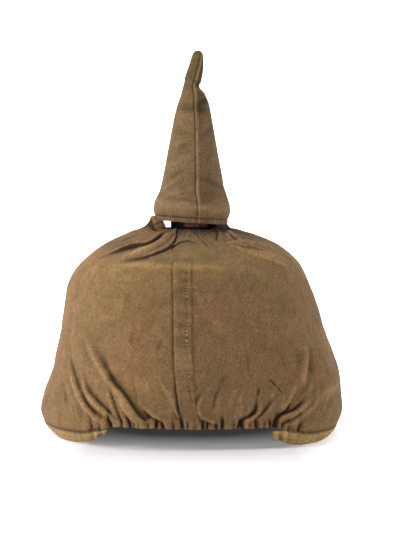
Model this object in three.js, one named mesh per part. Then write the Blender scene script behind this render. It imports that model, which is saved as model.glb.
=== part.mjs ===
// A spiked leather helmet in its two cotton covers, standing on its hem.
// Millimetres, +Z up, the visor points to -Y, the nape to +Y, the wearer's left is +X.
// Places on the body cover are given by a bearing, in degrees from the nape towards the left,
// and by the distance down the cloth from the lip at the spike's neck.
import * as THREE from 'three';

const CLOTH = 1.2;
const LEATHER = 2.5;
const GAP = 0.3;

// Body cover
const NECK_GATHERS = 15;
const NECK_GATHER_HEIGHT = 0.8;
const NAPE_LIFT = 6;
const NAPE_PULL_IN = 3.5;
const NAPE_FULL = 22;
const NAPE_END = 42;
const SEAM_STRIP_HEIGHT = 0.9;
const COVER_LENGTH = 172;

// Hem band
const BAND_END_LEFT = 29;
const BAND_END_RIGHT = -25;
const BAND_LIFT_LEFT = { height: 6.6, from: 27, to: 41 };
const BAND_LIFT_RIGHT = { height: 5.4, from: 22, to: 38 };

// Helmet under the covers
const RIM_Z = 24;
const CROWN_Z = 132.6;
const VISOR_REACH = 66;
const VISOR_TOP_Z = 52;
const VISOR_EDGE_Z = 13;
const GUARD_REACH = 76;
const GUARD_TOP_Z = 47;
const GUARD_EDGE_Z = 23;
const PLATE_RADIUS = 43;
const NECK_RADIUS = 15.2;
const POINT_TOP_Z = 238;
const POINT_TIP_RADIUS = 3.4;

// Sections of the body cover: height, reach from the spike's axis to each side, and how square
// the left and right halves are.
const COVER_SECTIONS = [
  { down: 0, z: 138.8, left: 21.0, right: 21.5, back: 21.5, front: 21.5, squareLeft: 2.0, squareRight: 2.0 },
  { down: 11, z: 137.8, left: 32.0, right: 30.4, back: 31.6, front: 32.6, squareLeft: 2.0, squareRight: 2.0 },
  { down: 25, z: 134.2, left: 46.6, right: 45.2, back: 47.6, front: 49.6, squareLeft: 2.05, squareRight: 2.05 },
  { down: 41, z: 127.0, left: 61.5, right: 61.0, back: 67.0, front: 69.0, squareLeft: 2.1, squareRight: 2.1 },
  { down: 59, z: 115.5, left: 76.0, right: 73.7, back: 85.0, front: 87.0, squareLeft: 2.2, squareRight: 2.2 },
  { down: 75, z: 102.0, left: 84.1, right: 81.1, back: 96.0, front: 98.0, squareLeft: 2.25, squareRight: 2.25 },
  { down: 92, z: 86.0, left: 87.4, right: 87.2, back: 103.0, front: 105.0, squareLeft: 2.25, squareRight: 2.25 },
  { down: 109, z: 69.0, left: 90.0, right: 91.5, back: 108.0, front: 110.0, squareLeft: 2.2, squareRight: 2.25 },
  { down: 123, z: 55.0, left: 92.6, right: 97.2, back: 112.0, front: 115.0, squareLeft: 2.15, squareRight: 2.25 },
  { down: 137, z: 42.0, left: 95.1, right: 101.7, back: 116.0, front: 123.0, squareLeft: 2.1, squareRight: 2.3 },
  { down: 152, z: 27.0, left: 100.8, right: 103.5, back: 121.0, front: 138.0, squareLeft: 2.05, squareRight: 2.4 },
  { down: 164, z: 15.0, left: 103.8, right: 104.3, back: 125.0, front: 149.0, squareLeft: 2.05, squareRight: 2.55 },
  { down: 172, z: 7.0, left: 101.7, right: 102.6, back: 125.0, front: 153.0, squareLeft: 2.05, squareRight: 2.6 },
];

// Line of the felled seam down the back.
const BACK_SEAM = [
  { down: 0, bearing: 9.0 },
  { down: 61, bearing: 6.8 },
  { down: 121, bearing: 5.8 },
  { down: 147, bearing: 4.5 },
  { down: 172, bearing: 2.2 },
];

// Ridges and hollows of the cloth, each a line of three places. Hollows have a minus height.
const FOLDS = [
  { from: [46, 106], by: [29, 133], to: [14.5, 169], width: 6.5, height: -4.0 },
  { from: [52, 118], by: [36, 140], to: [21.5, 167], width: 5.5, height: 2.6 },
  { from: [71, 112], by: [46, 137], to: [31, 164], width: 5.5, height: -3.0 },
  { from: [39, 142], by: [33, 151], to: [26, 164], width: 4.0, height: -2.4 },
  { from: [23, 122], by: [13, 152], to: [9, 167], width: 5.0, height: 1.8 },
  { from: [11, 134], by: [8, 151], to: [6.5, 166], width: 4.0, height: 1.6 },
  { from: [-23, 136], by: [-22, 154], to: [-15.5, 169], width: 5.0, height: -3.0 },
  { from: [-39, 139], by: [-35, 149], to: [-30.5, 157], width: 4.5, height: -2.2 },
  { from: [-53, 135], by: [-39, 151], to: [-28, 165], width: 5.0, height: -3.4 },
  { from: [-57, 147], by: [-42, 156], to: [-31, 165], width: 4.0, height: -2.0 },
  { from: [-57, 106], by: [-47, 122], to: [-41, 139], width: 7.0, height: 2.6 },
  { from: [-54, 112], by: [-52, 124], to: [-49, 136], width: 5.0, height: -1.6 },
  { from: [22, 6], by: [13, 34], to: [27, 50], width: 4.0, height: -2.2 },
  { from: [30, 14], by: [37, 37], to: [76, 53], width: 5.0, height: -2.6 },
  { from: [11, 35], by: [0, 32], to: [-13, 39], width: 4.0, height: -1.6 },
  { from: [-25, 28], by: [-45, 34], to: [-70, 42], width: 4.5, height: 2.0 },
  { from: [-28, 37], by: [-42, 47], to: [-69, 60], width: 5.0, height: 2.0 },
  { from: [100, 92], by: [108, 125], to: [118, 160], width: 7.0, height: 2.4 },
  { from: [124, 108], by: [120, 135], to: [128, 166], width: 6.0, height: -2.0 },
  { from: [-98, 88], by: [-110, 125], to: [-122, 158], width: 7.0, height: 2.4 },
  { from: [-128, 106], by: [-124, 135], to: [-133, 165], width: 6.0, height: -2.0 },
  { from: [82, 128], by: [78, 150], to: [68, 168], width: 5.5, height: -2.0 },
  { from: [-86, 126], by: [-82, 150], to: [-72, 168], width: 5.5, height: -2.0 },
  { from: [164, 26], by: [150, 48], to: [128, 70], width: 6.0, height: 1.8 },
  { from: [-170, 24], by: [-150, 44], to: [-126, 62], width: 6.0, height: 1.8 },
  { from: [142, 74], by: [150, 106], to: [158, 136], width: 8.0, height: 1.4 },
];

// Ruffles where the nape is gathered: each hollow's bearing, depth and rise up the cloth.
const NAPE_RUFFLES = [
  { bearing: 26.5, depth: 2.0, rise: 12 },
  { bearing: 18.8, depth: 2.4, rise: 14 },
  { bearing: 10.5, depth: 2.0, rise: 16 },
  { bearing: 2.8, depth: 2.0, rise: 18 },
  { bearing: -3.8, depth: 2.2, rise: 16 },
  { bearing: -8.8, depth: 2.0, rise: 14 },
  { bearing: -16.2, depth: 2.6, rise: 16 },
  { bearing: -21.6, depth: 2.2, rise: 13 },
  { bearing: -27.5, depth: 2.2, rise: 12 },
];

// Cloth that bunches up at the lip beside the spike's neck.
const LIP_BUNCHES = [
  { bearing: 84, down: 6, spread: 20, length: 3.4, rise: 7.5 },
  { bearing: 84, down: 14, spread: 24, length: 7.0, rise: 1.4 },
  { bearing: -80, down: 3, spread: 22, length: 3.4, rise: 3.6 },
];

// Hem band, down from its top edge and under: inset from the cover's edge, share of the band's
// height, and how far the inner face lies further in and up.
const BAND_PATH = [
  { inset: 0.7, height: 0.72, wallIn: 1.15, wallUp: 0.3 },
  { inset: 2.4, height: 0.38, wallIn: 1.0, wallUp: 0.7 },
  { inset: 4.6, height: 0.12, wallIn: 0.7, wallUp: 1.0 },
  { inset: 7.0, height: 0, wallIn: 0.3, wallUp: 1.2 },
  { inset: 12.4, height: 0, wallIn: 0, wallUp: 1.2 },
];

// Sections of the spike cover, hem to tip; the wall doubles where the empty tip folds over.
const SPIKE_COVER_SECTIONS = [
  { z: 143.8, left: 24.0, right: 23.2, wall: 1.6 },
  { z: 147.6, left: 25.8, right: 24.8, wall: 1.6 },
  { z: 151.7, left: 26.2, right: 26.0, wall: 1.2 },
  { z: 155.9, left: 25.5, right: 25.8, wall: 1.2 },
  { z: 160.0, left: 24.0, right: 24.6, wall: 1.2 },
  { z: 164.2, left: 22.5, right: 23.3, wall: 1.2 },
  { z: 170.0, left: 20.4, right: 21.8, wall: 1.2 },
  { z: 178.0, left: 18.8, right: 20.2, wall: 1.2 },
  { z: 189.0, left: 17.0, right: 17.8, wall: 1.2 },
  { z: 201.4, left: 14.8, right: 15.6, wall: 1.2 },
  { z: 213.8, left: 12.2, right: 13.6, wall: 1.2 },
  { z: 222.1, left: 10.2, right: 12.2, wall: 1.2 },
  { z: 227.0, left: 8.6, right: 10.8, wall: 1.2 },
  { z: 231.0, left: 7.2, right: 8.8, wall: 1.3 },
  { z: 234.5, left: 6.4, right: 6.6, wall: 1.7 },
  { z: 237.3, left: 5.6, right: 5.0, wall: 2.2 },
  { z: 239.8, left: 5.0, right: 5.9, wall: 1.6 },
  { z: 243.5, left: 4.4, right: 6.6, wall: 1.2 },
  { z: 248.0, left: 2.9, right: 7.2, wall: 1.2 },
  { z: 253.0, left: 1.2, right: 7.3, wall: 1.2 },
  { z: 257.6, left: -0.3, right: 7.1, wall: 1.2 },
  { z: 260.4, left: -1.6, right: 6.2, wall: 1.2 },
];
const SPIKE_COVER_TIP = { x: -3.9, z: 261.4 };
const SPIKE_COVER_COLUMNS = 24;
const SPIKE_HEM_TILT = 0.07;
const SPIKE_SEAM_HEIGHT = 0.5;

// Leather skull: height and reach of its outside.
const SHELL_SECTIONS = [
  { z: 131.2, side: 22.0, back: 23.0, front: 23.5 },
  { z: 127.0, side: 43.0, back: 45.0, front: 47.0 },
  { z: 119.0, side: 60.0, back: 66.0, front: 68.0 },
  { z: 108.0, side: 70.5, back: 82.0, front: 84.0 },
  { z: 96.0, side: 76.5, back: 91.5, front: 93.5 },
  { z: 80.0, side: 81.5, back: 98.0, front: 100.0 },
  { z: 60.0, side: 84.0, back: 101.5, front: 103.5 },
  { z: 42.0, side: 84.8, back: 102.6, front: 104.6 },
  { z: RIM_Z, side: 85.0, back: 103.0, front: 105.0 },
];
const SHELL_COLUMNS = 32;
const SHELL_SQUARE = 2.2;

const MATERIALS = {
  cloth: { color: 0x8b7a55, roughness: 0.95, metalness: 0 },
  tape: { color: 0xa08a5a, roughness: 0.95, metalness: 0 },
  leather: { color: 0x1d1a17, roughness: 0.55, metalness: 0 },
  metal: { color: 0x26231f, roughness: 0.45, metalness: 0.7 },
};

const radians = THREE.MathUtils.degToRad;
const smooth = THREE.MathUtils.smoothstep;

// Value of one column of a table at a place along it, eased through the rows.
function column(rows, key, name, place) {
  let i = 0;
  while (i < rows.length - 2 && rows[i + 1][key] < place) {
    i += 1;
  }
  const before = rows[Math.max(i - 1, 0)];
  const low = rows[i];
  const high = rows[i + 1];
  const after = rows[Math.min(i + 2, rows.length - 1)];
  const span = high[key] - low[key];
  const t = (place - low[key]) / span;
  const startSlope = ((high[name] - before[name]) / (high[key] - before[key])) * span;
  const endSlope = ((after[name] - low[name]) / (after[key] - low[key])) * span;
  const t2 = t * t;
  const t3 = t2 * t;
  return (2 * t3 - 3 * t2 + 1) * low[name] + (t3 - 2 * t2 + t) * startSlope
    + (3 * t2 - 2 * t3) * high[name] + (t3 - t2) * endSlope;
}

// Oval with its own reach to each of four sides.
function ovalReach(bearing, reach, square) {
  const s = Math.sin(radians(bearing));
  const c = Math.cos(radians(bearing));
  const across = Math.abs(s / (s >= 0 ? reach.left : reach.right));
  const along = Math.abs(c / (c >= 0 ? reach.back : reach.front));
  return (across ** square + along ** square) ** (-1 / square);
}

function ovalPoint(bearing, reach, square, z) {
  const distance = ovalReach(bearing, reach, square);
  return new THREE.Vector3(
    distance * Math.sin(radians(bearing)),
    distance * Math.cos(radians(bearing)),
    z,
  );
}

// How far a bearing lies inside the gathered nape, 1 at its middle and 0 past its ends.
function napeShare(bearing) {
  return 1 - smooth(Math.abs(bearing), NAPE_FULL, NAPE_END);
}

// The cover without its folds.
function coverBase(bearing, down) {
  const at = (name) => column(COVER_SECTIONS, 'down', name, down);
  const reach = { left: at('left'), right: at('right'), back: at('back'), front: at('front') };
  const lift = NAPE_LIFT * napeShare(bearing) * smooth(down, 118, COVER_LENGTH);
  const square = at(Math.sin(radians(bearing)) >= 0 ? 'squareLeft' : 'squareRight');
  return ovalPoint(bearing, reach, square, at('z') + lift);
}

function coverNormal(bearing, down) {
  const step = 0.5;
  const low = Math.max(down - step, 0);
  const high = Math.min(down + step, COVER_LENGTH);
  const around = coverBase(bearing + step, down).sub(coverBase(bearing - step, down));
  const along = coverBase(bearing, high).sub(coverBase(bearing, low));
  return around.cross(along).normalize();
}

// Height of one fold at a place, from its distance to the fold's line over the cloth.
function foldHeight(fold, bearing, down, reach) {
  const steps = 16;
  let nearest = Infinity;
  let strength = 1;
  for (let i = 0; i <= steps; i += 1) {
    const t = i / steps;
    const a = (1 - t) * (1 - 2 * t);
    const b = 4 * t * (1 - t);
    const c = t * (2 * t - 1);
    const lineBearing = a * fold.from[0] + b * fold.by[0] + c * fold.to[0];
    const lineDown = a * fold.from[1] + b * fold.by[1] + c * fold.to[1];
    const distance = Math.hypot(reach * radians(bearing - lineBearing), down - lineDown);
    if (distance < nearest) {
      nearest = distance;
      strength = 0.4 + 0.6 * Math.min(1, 2 * t);
    }
  }
  return fold.height * strength * Math.exp(-((nearest / fold.width) ** 2));
}

// Height of the cloth over its base at a place.
function coverHeight(bearing, down) {
  const base = coverBase(bearing, down);
  const reach = Math.hypot(base.x, base.y);
  let height = 0;
  for (const fold of FOLDS) {
    height += foldHeight(fold, bearing, down, reach);
  }
  for (const ruffle of NAPE_RUFFLES) {
    const across = (reach * radians(bearing - ruffle.bearing)) / 4.2;
    const grown = smooth(down, COVER_LENGTH - ruffle.rise, COVER_LENGTH);
    height -= ruffle.depth * Math.exp(-across * across) * grown;
  }
  for (const bunch of LIP_BUNCHES) {
    const across = (bearing - bunch.bearing) / bunch.spread;
    const along = (down - bunch.down) / bunch.length;
    height += bunch.rise * Math.exp(-across * across - along * along);
  }
  const phase = NECK_GATHERS * radians(bearing) + 0.8 * Math.sin(2 * radians(bearing) + 0.6);
  height += NECK_GATHER_HEIGHT * (1 + Math.cos(phase)) * (1 - smooth(down, 4, 34));
  height -= NAPE_PULL_IN * napeShare(bearing) * smooth(down, 148, COVER_LENGTH);
  return height;
}

function coverPoint(bearing, down, depth) {
  const height = coverHeight(bearing, down) - depth;
  return coverBase(bearing, down).addScaledVector(coverNormal(bearing, down), height);
}

// One closed mesh from shared corners; it is turned right side out by its volume.
function closedMesh(name, finish, points, triangles) {
  let volume = 0;
  for (const [a, b, c] of triangles) {
    volume += points[a].dot(points[b].clone().cross(points[c]));
  }
  const index = [];
  for (const [a, b, c] of triangles) {
    index.push(...(volume > 0 ? [a, b, c] : [a, c, b]));
  }
  const geometry = new THREE.BufferGeometry().setFromPoints(points);
  geometry.setIndex(index);
  geometry.computeVertexNormals();
  const mesh = new THREE.Mesh(geometry, new THREE.MeshStandardMaterial(MATERIALS[finish]));
  mesh.name = name;
  return mesh;
}

function addQuad(triangles, a, b, c, d) {
  triangles.push([a, b, c], [a, c, d]);
}

// A wall swept through sections, each an outer and an inner run of points, closed at both ends.
function wallSolid(name, finish, sections) {
  const count = sections[0].outer.length;
  const size = 2 * count;
  const points = [];
  const triangles = [];
  for (const section of sections) {
    points.push(...section.outer, ...section.inner.slice().reverse());
  }
  for (let s = 0; s + 1 < sections.length; s += 1) {
    for (let k = 0; k < size; k += 1) {
      const next = (k + 1) % size;
      addQuad(triangles, s * size + next, (s + 1) * size + next, (s + 1) * size + k, s * size + k);
    }
  }
  const last = (sections.length - 1) * size;
  for (let k = 0; k + 1 < count; k += 1) {
    const facing = size - 1 - k;
    addQuad(triangles, k, facing, facing - 1, k + 1);
    addQuad(triangles, last + k, last + k + 1, last + facing - 1, last + facing);
  }
  return closedMesh(name, finish, points, triangles);
}

// A round solid through rings of points, closed by a point at each end.
function ringSolid(name, finish, start, rings, end) {
  const count = rings[0].length;
  const points = [start, ...rings.flat(), end];
  const triangles = [];
  const last = points.length - 1;
  for (let k = 0; k < count; k += 1) {
    const next = (k + 1) % count;
    triangles.push([0, 1 + k, 1 + next]);
    for (let r = 0; r + 1 < rings.length; r += 1) {
      const low = 1 + r * count;
      addQuad(triangles, low + k, low + count + k, low + count + next, low + next);
    }
    const edge = 1 + (rings.length - 1) * count;
    triangles.push([last, edge + next, edge + k]);
  }
  return closedMesh(name, finish, points, triangles);
}

// Bearings of a panel's columns from the back seam, close together over the gathered nape.
function panelColumns(stripEdge) {
  const bearings = stripEdge ? [0, 2.2, stripEdge, stripEdge + 0.6, 6.8] : [0, 1.7, 3.4, 5.1, 6.8];
  for (let bearing = 9; bearing < 37; bearing += 2.2) {
    bearings.push(bearing);
  }
  for (let bearing = 42; bearing < 60; bearing += 6) {
    bearings.push(bearing);
  }
  for (let bearing = 60; bearing <= 180; bearing += 20 / 3) {
    bearings.push(Math.min(bearing, 180));
  }
  return bearings;
}

const PANEL_ROWS = [0, 4, 9, 16, 25, 34, 44, 56, 70, 86, 102, 116, 128, 138, 147, 155, 163, COVER_LENGTH];
const STRIP_WIDTH = 4.6;

// Bearing of a panel's column at a row: it runs from the back seam to the front seam.
function panelBearing(side, offset, down) {
  const clear = (GAP / 2 / coverBase(0, down).y) * (180 / Math.PI);
  const seam = column(BACK_SEAM, 'down', 'bearing', down) + side * clear;
  return seam + (side * 180 - side * clear - seam) * (offset / 180);
}

function coverPanel(name, side) {
  const columns = panelColumns(side < 0 ? STRIP_WIDTH : 0);
  const sections = columns.map((offset) => {
    const outer = [];
    const inner = [];
    for (const down of PANEL_ROWS) {
      const bearing = panelBearing(side, offset, down);
      const strip = side < 0 && offset <= STRIP_WIDTH ? SEAM_STRIP_HEIGHT * smooth(down, 30, 70) : 0;
      outer.push(coverPoint(bearing, down, -strip));
      inner.push(coverPoint(bearing, down, CLOTH));
    }
    return { outer, inner };
  });
  return wallSolid(name, 'cloth', sections);
}

// The tape lies under the cover's lower edge and turns in below it, flat where it stands.
function hemBand(name, side, end, raised) {
  const sections = [];
  const bearings = panelColumns(0)
    .map((offset) => panelBearing(side, offset, COVER_LENGTH))
    .filter((bearing) => side * (bearing - end) > 1);
  for (const bearing of [end, ...bearings]) {
    const edge = coverPoint(bearing, COVER_LENGTH, 0);
    const before = coverBase(bearing - 0.5, COVER_LENGTH);
    const after = coverBase(bearing + 0.5, COVER_LENGTH);
    const inward = new THREE.Vector3(before.y - after.y, after.x - before.x, 0).normalize();
    if (inward.dot(edge) > 0) {
      inward.negate();
    }
    const innerEdge = coverPoint(bearing, COVER_LENGTH, CLOTH);
    const outer = [edge.clone().setZ(edge.z - GAP)];
    const inner = [innerEdge.clone().setZ(innerEdge.z - GAP)];
    const rise = raised.height * (1 - smooth(Math.abs(bearing), raised.from, raised.to));
    for (const row of BAND_PATH) {
      const z = rise + (edge.z - GAP - rise) * row.height;
      const place = edge.clone().addScaledVector(inward, row.inset).setZ(z);
      outer.push(place);
      inner.push(place.clone().addScaledVector(inward, row.wallIn).setZ(place.z + row.wallUp));
    }
    sections.push({ outer, inner });
  }
  return wallSolid(name, 'tape', sections);
}

function spikeCoverRing(row, wall) {
  const ring = [];
  const middle = (row.left - row.right) / 2;
  const radius = (row.left + row.right) / 2;
  for (let k = 0; k < SPIKE_COVER_COLUMNS; k += 1) {
    const bearing = (360 * k) / SPIKE_COVER_COLUMNS;
    const seam = wall === 0 && k === 0 ? SPIKE_SEAM_HEIGHT : 0;
    const reach = radius - wall + seam;
    const x = middle + reach * Math.sin(radians(bearing));
    const y = reach * Math.cos(radians(bearing));
    const tilt = SPIKE_HEM_TILT * x * (1 - smooth(row.z, 144, 164));
    ring.push(new THREE.Vector3(x, y, row.z + tilt));
  }
  return ring;
}

function spikeCover() {
  const outside = SPIKE_COVER_SECTIONS.map((row) => spikeCoverRing(row, 0)).reverse();
  const inside = SPIKE_COVER_SECTIONS.slice(0, -1).map((row) => spikeCoverRing(row, row.wall));
  const tip = new THREE.Vector3(SPIKE_COVER_TIP.x, 0, SPIKE_COVER_TIP.z);
  const innerTip = new THREE.Vector3(SPIKE_COVER_TIP.x, 0, SPIKE_COVER_TIP.z - 1.6);
  return ringSolid('spike_cover', 'cloth', tip, [...outside, ...inside], innerTip);
}

function shellRing(row, inset, z) {
  const reach = {
    left: row.side - inset,
    right: row.side - inset,
    back: row.back - inset,
    front: row.front - inset,
  };
  const ring = [];
  for (let k = 0; k < SHELL_COLUMNS; k += 1) {
    ring.push(ovalPoint((360 * k) / SHELL_COLUMNS, reach, SHELL_SQUARE, z));
  }
  return ring;
}

function shell() {
  const outside = SHELL_SECTIONS.map((row) => shellRing(row, 0, row.z));
  const inside = SHELL_SECTIONS.map((row, i) => {
    const flat = Math.max(0, 1 - i / 4);
    const z = row.z === RIM_Z ? RIM_Z : row.z - LEATHER * flat;
    return shellRing(row, LEATHER * (1 - 0.75 * flat), z);
  }).reverse();
  const top = new THREE.Vector3(0, 0, CROWN_Z);
  const innerTop = new THREE.Vector3(0, 0, CROWN_Z - LEATHER);
  return ringSolid('shell', 'leather', top, [...outside, ...inside], innerTop);
}

// Outside of the skull at a bearing and height.
function shellReach(bearing, z) {
  const rows = SHELL_SECTIONS.slice().reverse();
  const at = (name) => column(rows, 'z', name, z);
  const side = at('side');
  const reach = { left: side, right: side, back: at('back'), front: at('front') };
  return ovalReach(bearing, reach, SHELL_SQUARE);
}

// A leather plate that slopes from the skull down and out to an edge under the cloth.
function skullPlate(name, plate) {
  const sections = [];
  const columns = 26;
  const coverRows = COVER_SECTIONS.slice().reverse();
  for (let i = 0; i <= columns; i += 1) {
    const turn = (2 * i) / columns - 1;
    const bearing = plate.middle + plate.reach * turn;
    const narrowing = Math.sqrt(Math.max(0, 1 - turn ** 4)) * 0.92 + 0.08;
    const edgeDown = column(coverRows, 'z', 'down', plate.edgeZ);
    const cover = coverBase(bearing, edgeDown);
    const direction = new THREE.Vector3(Math.sin(radians(bearing)), Math.cos(radians(bearing)), 0);
    const root = shellReach(bearing, plate.topZ) + GAP;
    const inset = plate.inset + plate.sideInset * turn * turn;
    const reach = Math.hypot(cover.x, cover.y) - inset - root;
    const drop = plate.topZ - plate.edgeZ;
    const tilt = new THREE.Vector3().addScaledVector(direction, drop).setZ(reach).normalize();
    const rootPoint = direction.clone().multiplyScalar(root).setZ(plate.topZ);
    const edgePoint = direction.clone().multiplyScalar(root + reach * narrowing);
    edgePoint.z = plate.topZ - drop * narrowing;
    const middlePoint = rootPoint.clone().lerp(edgePoint, 0.5).addScaledVector(tilt, 1.2);
    const outer = [rootPoint, middlePoint, edgePoint];
    const inner = outer.map((point) => point.clone().setZ(point.z - LEATHER * 1.5));
    sections.push({ outer, inner });
  }
  return wallSolid(name, 'leather', sections);
}

// Base plate on the crown, neck and point, soldered into one.
function spike() {
  const profile = [];
  const tipCentre = POINT_TOP_Z - POINT_TIP_RADIUS;
  for (let i = 1; i <= 4; i += 1) {
    const turn = radians(90 - 22.5 * i);
    profile.push([POINT_TIP_RADIUS * Math.cos(turn), tipCentre + POINT_TIP_RADIUS * Math.sin(turn)]);
  }
  profile.push([12.6, 160], [16.2, 157], [17.0, 155], [16.2, 153], [NECK_RADIUS, 151]);
  profile.push([NECK_RADIUS, 138.4], [17, 136], [26, 133.8], [36, 131.4], [PLATE_RADIUS, 129.4]);
  profile.push([PLATE_RADIUS, 127.9], [22, 131.9]);
  const rings = profile.map(([radius, z]) => {
    const ring = [];
    for (let k = 0; k < 28; k += 1) {
      const turn = (2 * Math.PI * k) / 28;
      ring.push(new THREE.Vector3(radius * Math.sin(turn), radius * Math.cos(turn), z));
    }
    return ring;
  });
  const top = new THREE.Vector3(0, 0, POINT_TOP_Z);
  const under = new THREE.Vector3(0, 0, CROWN_Z + GAP);
  return ringSolid('spike', 'metal', top, rings, under);
}

const helmet = new THREE.Group();
helmet.name = 'pickelhaube';
helmet.add(shell());
helmet.add(skullPlate('front_visor', {
  middle: 180, reach: VISOR_REACH, topZ: VISOR_TOP_Z, edgeZ: VISOR_EDGE_Z,
  inset: CLOTH + 1.2, sideInset: 6,
}));
helmet.add(skullPlate('neck_guard', {
  middle: 0, reach: GUARD_REACH, topZ: GUARD_TOP_Z, edgeZ: GUARD_EDGE_Z,
  inset: 8, sideInset: 0,
}));
helmet.add(spike());
helmet.add(coverPanel('cover_left_panel', 1));
helmet.add(coverPanel('cover_right_panel', -1));
helmet.add(hemBand('hem_band_left', 1, BAND_END_LEFT, BAND_LIFT_LEFT));
helmet.add(hemBand('hem_band_right', -1, BAND_END_RIGHT, BAND_LIFT_RIGHT));
helmet.add(spikeCover());

// The helmet stands over the middle of its own outline.
const outline = new THREE.Box3().setFromObject(helmet);
const middle = outline.getCenter(new THREE.Vector3());
helmet.position.set(-middle.x, -middle.y, -outline.min.z);

export default helmet;
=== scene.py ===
import math

import bpy
import numpy as np
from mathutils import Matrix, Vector


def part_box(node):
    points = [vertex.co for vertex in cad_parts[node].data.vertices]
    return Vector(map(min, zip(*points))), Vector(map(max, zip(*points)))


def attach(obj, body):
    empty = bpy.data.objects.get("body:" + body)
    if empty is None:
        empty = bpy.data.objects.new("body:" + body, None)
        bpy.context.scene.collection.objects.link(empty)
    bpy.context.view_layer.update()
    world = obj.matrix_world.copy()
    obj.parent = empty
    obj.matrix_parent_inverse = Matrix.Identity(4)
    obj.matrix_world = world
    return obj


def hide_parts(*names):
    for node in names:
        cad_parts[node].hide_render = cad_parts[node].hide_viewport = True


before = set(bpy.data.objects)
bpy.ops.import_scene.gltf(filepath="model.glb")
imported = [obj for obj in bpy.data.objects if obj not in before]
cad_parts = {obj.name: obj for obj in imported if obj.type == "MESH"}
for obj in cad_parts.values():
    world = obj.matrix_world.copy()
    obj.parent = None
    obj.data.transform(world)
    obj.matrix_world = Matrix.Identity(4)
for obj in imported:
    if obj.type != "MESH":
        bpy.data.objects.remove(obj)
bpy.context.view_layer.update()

# Leather skull, front visor and neck guard: thick cowhide pressed to form over a block,
# trimmed, stitched together and blackened. The cloth cover hides all but their undersides.


def feed(tree, node, feeds):
    for key, value in feeds.items():
        if isinstance(value, bpy.types.NodeSocket):
            tree.links.new(value, node.inputs[key])
        else:
            node.inputs[key].default_value = value


def add_node(tree, kind, feeds=None, **settings):
    node = tree.nodes.new(kind)
    for name, value in settings.items():
        setattr(node, name, value)
    feed(tree, node, feeds or {})
    return node


def mixed(tree, share, low, high, how="MIX"):
    feeds = {0: share, 6: low, 7: high}
    return add_node(tree, "ShaderNodeMix", feeds, data_type="RGBA", blend_type=how).outputs[2]


def ranged(tree, value, low, high, to_low=0.0, to_high=1.0):
    feeds = {"Value": value, "From Min": low, "From Max": high, "To Min": to_low, "To Max": to_high}
    return add_node(tree, "ShaderNodeMapRange", feeds).outputs["Result"]


def new_finish(name):
    finish = bpy.data.materials.new(name)
    finish.use_nodes = True
    tree = finish.node_tree
    tree.nodes.clear()
    shader = add_node(tree, "ShaderNodeBsdfPrincipled")
    add_node(tree, "ShaderNodeOutputMaterial", {"Surface": shader.outputs[0]})
    return finish, tree, shader


leather, tree, shader = new_finish("blackened leather")
spot = add_node(tree, "ShaderNodeTexCoord").outputs["Object"]
grain = add_node(tree, "ShaderNodeTexVoronoi", {"Vector": spot, "Scale": 900.0}).outputs["Distance"]
patches = add_node(tree, "ShaderNodeTexNoise", {"Vector": spot, "Scale": 45.0, "Detail": 4.0}).outputs[0]
bump = add_node(tree, "ShaderNodeBump", {"Height": grain, "Strength": 0.25, "Distance": 0.0004})
feed(tree, shader, {
    "Base Color": mixed(tree, patches, (0.016, 0.012, 0.009, 1), (0.045, 0.031, 0.021, 1)),
    "Roughness": ranged(tree, patches, 0.3, 0.7, 0.42, 0.62),
    "Normal": bump.outputs[0],
})
for node_name in ("shell", "front_visor", "neck_guard"):
    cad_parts[node_name].data.materials.clear()
    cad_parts[node_name].data.materials.append(leather)

# Spike: a drawn metal point on a turned neck, soldered to a round base plate that sits on the
# crown. It is painted black, and the paint on the short open length of the neck has rusted.

MM = 0.001
spike_low, spike_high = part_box("spike")
AXIS_X = (spike_low.x + spike_high.x) / 2
AXIS_Y = (spike_low.y + spike_high.y) / 2
SPIKE_PROFILE = (  # radius and height, mm
    (22.0, 131.9), (42.6, 127.9), (43.0, 128.4), (43.0, 129.2), (42.4, 129.6), (36.0, 131.4),
    (26.0, 133.7), (19.0, 135.2), (15.6, 136.8), (14.3, 139.0), (14.3, 149.5), (15.6, 151.6),
    (16.9, 153.4), (17.0, 155.4), (16.2, 157.2), (13.6, 158.8), (12.7, 160.4), (8.3, 196.0),
    (3.5, 233.4), (3.2, 235.6), (2.3, 237.0), (1.0, 237.9),
)
RUST_HEIGHTS = (0.1402, 0.1408, 0.1430, 0.1438)  # m, where it starts, is full, is still full and ends
RUST_ACROSS = (-0.012, -0.010, 0.004, 0.006)


def start_piece(name):
    piece = bpy.context.object
    piece.name = name
    piece.data.name = name
    return piece


def turned_piece(name, profile):
    radius, height = profile[0]
    bpy.ops.object.select_all(action="DESELECT")
    bpy.ops.mesh.primitive_circle_add(
        vertices=72, radius=radius * MM, fill_type="NGON", location=(AXIS_X, AXIS_Y, height * MM)
    )
    piece = start_piece(name)
    bpy.ops.object.transform_apply(location=True, rotation=True, scale=True)
    bpy.ops.object.mode_set(mode="EDIT")
    bpy.ops.mesh.select_all(action="SELECT")
    for next_radius, next_height in profile[1:]:
        rise = (next_height - height) * MM
        bpy.ops.mesh.extrude_region_move(TRANSFORM_OT_translate={"value": (0, 0, rise)})
        spread = next_radius / radius
        bpy.ops.transform.resize(
            value=(spread, spread, 1), center_override=(AXIS_X, AXIS_Y, next_height * MM)
        )
        radius, height = next_radius, next_height
    bpy.ops.mesh.select_all(action="SELECT")
    bpy.ops.mesh.normals_make_consistent(inside=False)
    bpy.ops.object.mode_set(mode="OBJECT")
    bpy.ops.object.shade_smooth_by_angle(angle=math.radians(40))
    return piece


def calculated(tree, operation, first, second=0.0, third=0.0):
    feeds = {0: first, 1: second, 2: third}
    return add_node(tree, "ShaderNodeMath", feeds, operation=operation).outputs[0]


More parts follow.
